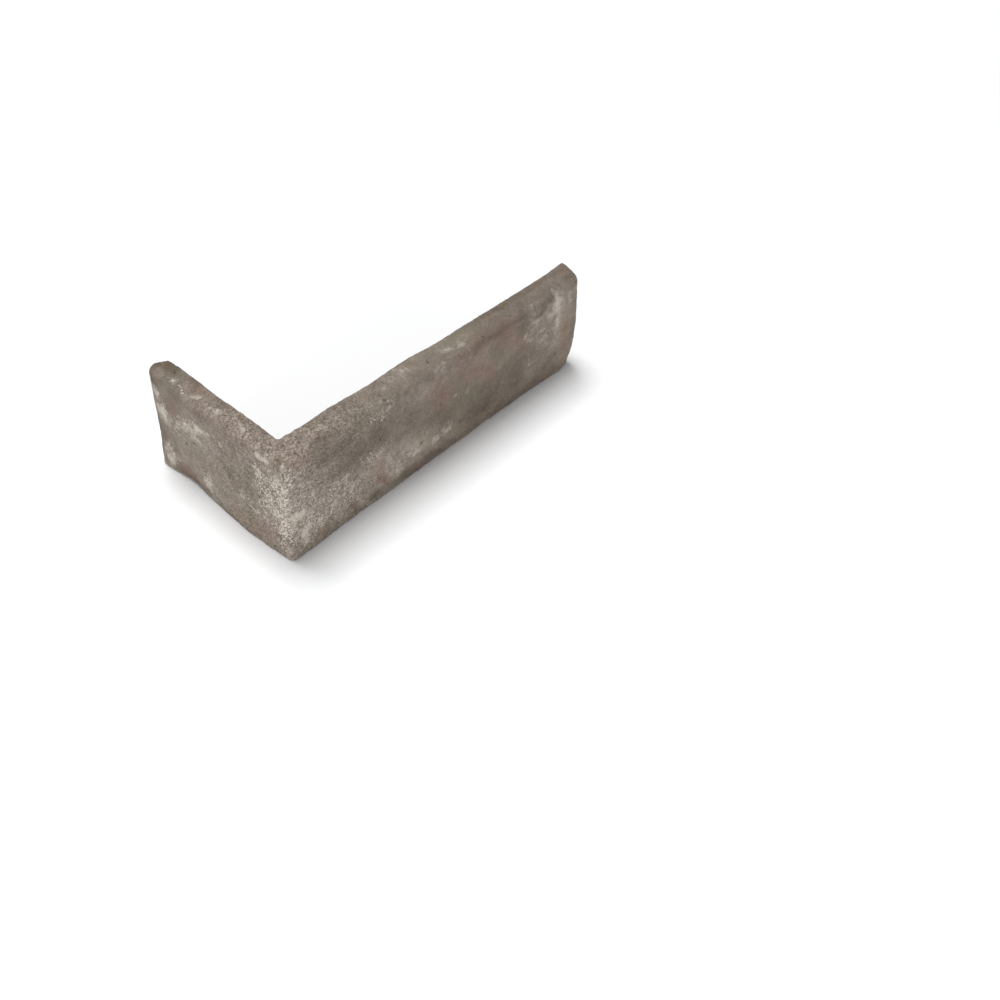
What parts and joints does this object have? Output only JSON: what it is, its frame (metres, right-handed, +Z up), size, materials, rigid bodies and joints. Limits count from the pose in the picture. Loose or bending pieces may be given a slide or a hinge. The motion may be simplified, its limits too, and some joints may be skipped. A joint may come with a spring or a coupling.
{
  "type": "corner brick slip",
  "caption": "L-shaped corner brick slip of fired clay: a stretcher face and a header return with rough sanded fronts and flat sawn backs that bond to the outside corner of a wall.",
  "frame": {"origin": "middle of the slip's bounding box in plan, on the floor that its bed stands on", "axes": "+X along the stretcher towards its free end, +Y along the header return towards its free end, +Z up the course height. The outside faces look towards -Y and -X, and the sawn backs towards +Y and +X"},
  "size_m": [0.2179, 0.1044, 0.0667],
  "materials": {
    "fired_clay": "matt sanded taupe fired clay with a pale lime bloom, and dark red sawn backs"
  },
  "bodies": {
    "root": {"corner_slip": "fired_clay"}
  },
  "joints": []
}
